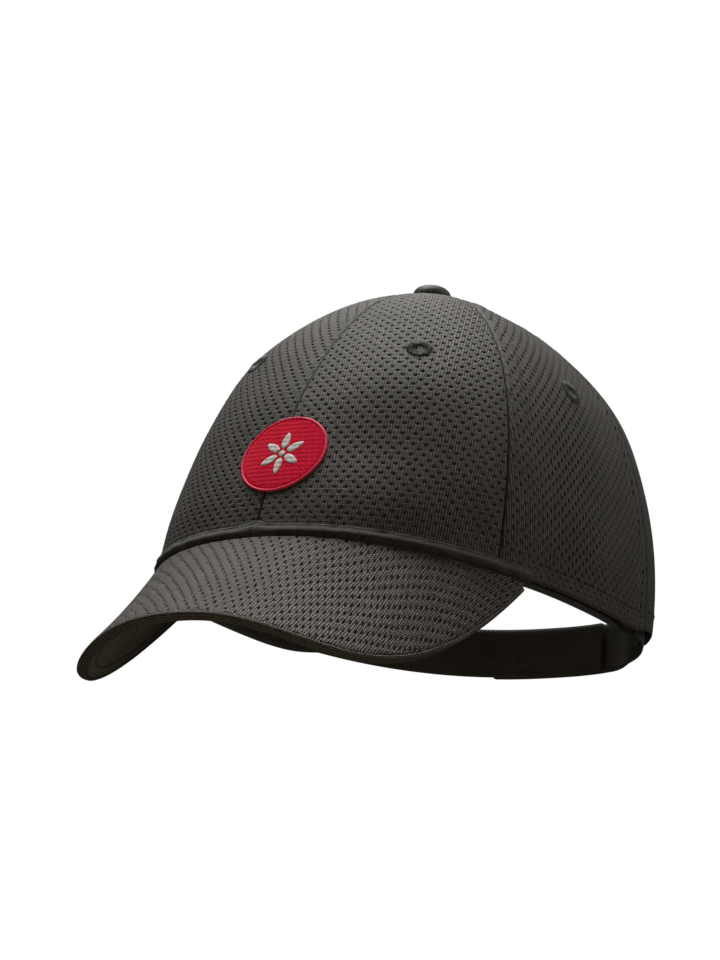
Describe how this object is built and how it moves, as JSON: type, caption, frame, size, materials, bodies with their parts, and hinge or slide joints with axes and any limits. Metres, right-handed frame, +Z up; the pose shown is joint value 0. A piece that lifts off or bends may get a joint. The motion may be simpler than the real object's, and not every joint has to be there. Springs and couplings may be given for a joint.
{
  "type": "chef cap",
  "caption": "Panelled mesh chef's cap with curved visor, covered button, sewn eyelets, round badge and hook-and-loop back strap.",
  "frame": {"origin": "middle of the head opening, level with the rims at the wearer's temples", "axes": "+Z up out of the crown's button, -Y forward along the visor, +X towards the wearer's left"},
  "size_m": [0.1688, 0.2403, 0.1804],
  "materials": {
    "mesh_fabric": "knitted polyester athletic mesh with small holes",
    "buckram": "stiffened woven buckram",
    "seam_tape": "woven twill tape",
    "sweatband_fabric": "brushed wicking fabric",
    "label_satin": "plain satin, left blank",
    "visor_board": "moulded polyethylene board",
    "edge_binding": "folded fabric edge",
    "strap_webbing": "folded mesh fabric strap",
    "hook_tape": "hook tape",
    "loop_tape": "loop pile tape",
    "button_fabric": "smooth covered fabric",
    "steel": "plain steel",
    "eyelet_thread": "sewn thread",
    "emblem_thread": "embroidered rayon thread",
    "emblem_satin": "satin stitched rim"
  },
  "bodies": {
    "crown": {"front_panel_left": "mesh_fabric", "front_panel_right": "mesh_fabric", "side_panel_left": "mesh_fabric", "side_panel_right": "mesh_fabric", "back_panel_left": "mesh_fabric", "back_panel_right": "mesh_fabric", "visor_top_cover": "mesh_fabric", "visor_under_cover": "mesh_fabric", "visor_seam_roll": "mesh_fabric", "front_buckram_left": "buckram", "front_buckram_right": "buckram", "seam_tape_front": "seam_tape", "seam_tape_back": "seam_tape", "arch_opening_tape": "seam_tape", "seam_tape_front_side_left": "seam_tape", "seam_tape_front_side_right": "seam_tape", "seam_tape_side_back_left": "seam_tape", "seam_tape_side_back_right": "seam_tape", "sweatband": "sweatband_fabric", "care_label": "label_satin", "visor_board": "visor_board", "visor_edge_binding": "edge_binding", "hook_strap_sewn_end": "strap_webbing", "loop_strap_sewn_end": "strap_webbing", "button_cover": "button_fabric", "button_shell": "steel", "button_washer": "steel", "eyelet_front_left": "eyelet_thread", "eyelet_front_right": "eyelet_thread", "eyelet_side_left": "eyelet_thread", "eyelet_side_right": "eyelet_thread", "eyelet_back_left": "eyelet_thread", "eyelet_back_right": "eyelet_thread", "emblem_field": "emblem_thread", "emblem_border": "emblem_satin"},
    "hook_strap": {"hook_strap": "strap_webbing", "hook_patch": "hook_tape"},
    "loop_strap": {"loop_strap": "strap_webbing", "loop_patch": "loop_tape"}
  },
  "joints": [
    {"name": "hook_strap_peel", "type": "hinge", "parent": "crown", "child": "hook_strap", "pos_m": [0.05176, 0.0838, 0.012], "axis": [0, 0, -1], "range_deg": [0, 90]},
    {"name": "loop_strap_flex", "type": "hinge", "parent": "crown", "child": "loop_strap", "pos_m": [-0.05119, 0.08304, 0.012], "axis": [0, 0, -1], "range_deg": [0, 35]}
  ]
}
